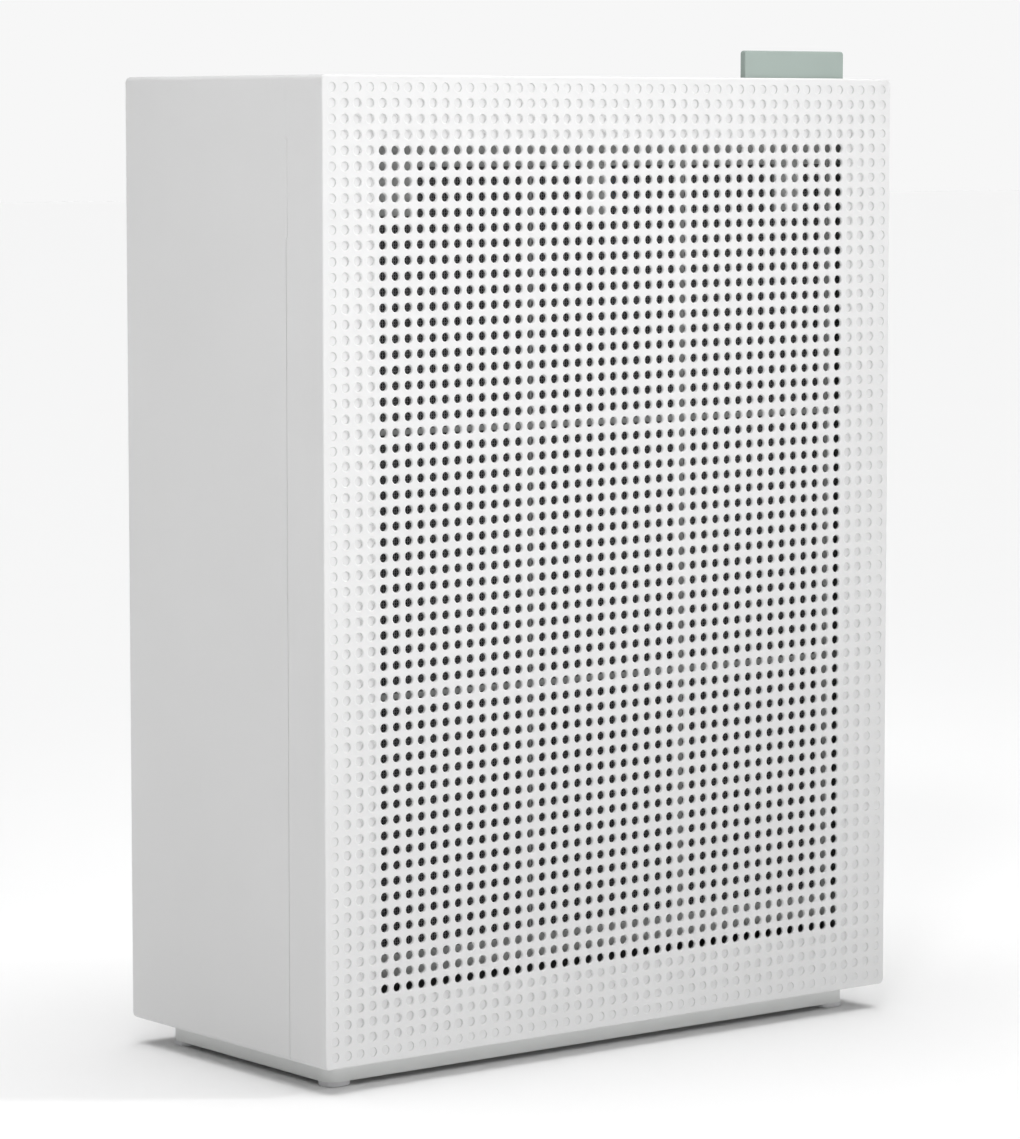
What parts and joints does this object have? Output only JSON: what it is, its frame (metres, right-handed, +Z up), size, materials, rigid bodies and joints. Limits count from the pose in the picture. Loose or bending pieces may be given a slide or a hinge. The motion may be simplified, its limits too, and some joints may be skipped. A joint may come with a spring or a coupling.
{
  "type": "air purifier",
  "caption": "Slim upright air purifier with a dot-perforated lift-off front cover, pull-up washable pre-filter with a corner tab, stacked filters and a centrifugal fan blowing upwards",
  "frame": {"origin": "on the surface it stands on, under the middle of the case", "axes": "+X to the right seen from the front, +Y to the back, +Z up; the perforated front looks along -Y"},
  "size_m": [0.34, 0.158, 0.47],
  "materials": {
    "white_plastic": "satin moulded, fine grain",
    "light_grey": "satin moulded",
    "sage": "satin moulded, sage green",
    "black_mesh": "woven nylon mesh",
    "dark_plastic": "satin moulded",
    "carbon": "matt activated carbon grains in a honeycomb",
    "ribbon": "woven ribbon",
    "paper": "matt pleated filter paper",
    "foam": "closed cell foam",
    "panel": "gloss touch panel",
    "circuit_board": "solder mask",
    "plated_steel": "zinc plated",
    "black_steel": "painted motor can",
    "wheel": "moulded fan wheel",
    "rubber": "matt",
    "foot_rubber": "matt"
  },
  "bodies": {
    "casing": {"rear_casing": "white_plastic", "outlet_grille": "white_plastic", "control_panel": "panel", "control_board": "circuit_board", "handle_cup": "white_plastic", "power_inlet": "dark_plastic", "inlet_pin_left": "plated_steel", "inlet_pin_right": "plated_steel", "sensor_cover": "white_plastic", "dust_sensor": "dark_plastic", "filter_bay": "light_grey", "bay_screw_1": "plated_steel", "bay_screw_2": "plated_steel", "bay_screw_3": "plated_steel", "bay_screw_4": "plated_steel", "cover_switch": "dark_plastic", "inlet_bell": "light_grey", "inlet_guard": "light_grey", "scroll_housing": "light_grey", "motor_bracket": "plated_steel", "motor_bush_1": "rubber", "motor_bush_2": "rubber", "motor_bush_3": "rubber", "motor_screw_1": "plated_steel", "motor_screw_2": "plated_steel", "motor_screw_3": "plated_steel", "motor": "black_steel", "power_board": "circuit_board", "motor_lead": "rubber", "mains_lead": "rubber", "base_plinth": "light_grey", "plinth_screw_1": "plated_steel", "plinth_screw_2": "plated_steel", "plinth_screw_3": "plated_steel", "plinth_screw_4": "plated_steel", "foot_front_left": "foot_rubber", "foot_front_right": "foot_rubber", "foot_rear_left": "foot_rubber", "foot_rear_right": "foot_rubber"},
    "cover": {"front_cover": "white_plastic"},
    "prefilter": {"prefilter_frame": "sage", "prefilter_mesh": "black_mesh"},
    "deodorising_filter": {"deodorising_frame": "dark_plastic", "carbon_honeycomb": "carbon", "deodorising_pull_tab": "ribbon"},
    "hepa_filter": {"hepa_frame": "white_plastic", "hepa_pleats": "paper", "hepa_gasket": "foam", "hepa_pull_tab": "ribbon"},
    "fan_wheel": {"impeller": "wheel", "impeller_nut": "plated_steel", "motor_shaft": "plated_steel"}
  },
  "joints": [
    {"name": "cover_slide", "type": "slide", "parent": "casing", "child": "cover", "axis": [0, -1, 0], "range_m": [0, 0.3]},
    {"name": "prefilter_lift", "type": "slide", "parent": "cover", "child": "prefilter", "axis": [0, 0, 1], "range_m": [0, 0.43]},
    {"name": "deodorising_slide", "type": "slide", "parent": "casing", "child": "deodorising_filter", "axis": [0, -1, 0], "range_m": [0, 0.165]},
    {"name": "hepa_slide", "type": "slide", "parent": "casing", "child": "hepa_filter", "axis": [0, -1, 0], "range_m": [0, 0.09]},
    {"name": "fan_spin", "type": "hinge", "parent": "casing", "child": "fan_wheel", "pos_m": [-0.0135, 0.02, 0.19], "axis": [0, 1, 0], "continuous": true}
  ],
  "couplings": [
    {"joint": "deodorising_slide", "follows": "cover_slide", "ratio": 0.55},
    {"joint": "hepa_slide", "follows": "cover_slide", "ratio": 0.3}
  ]
}
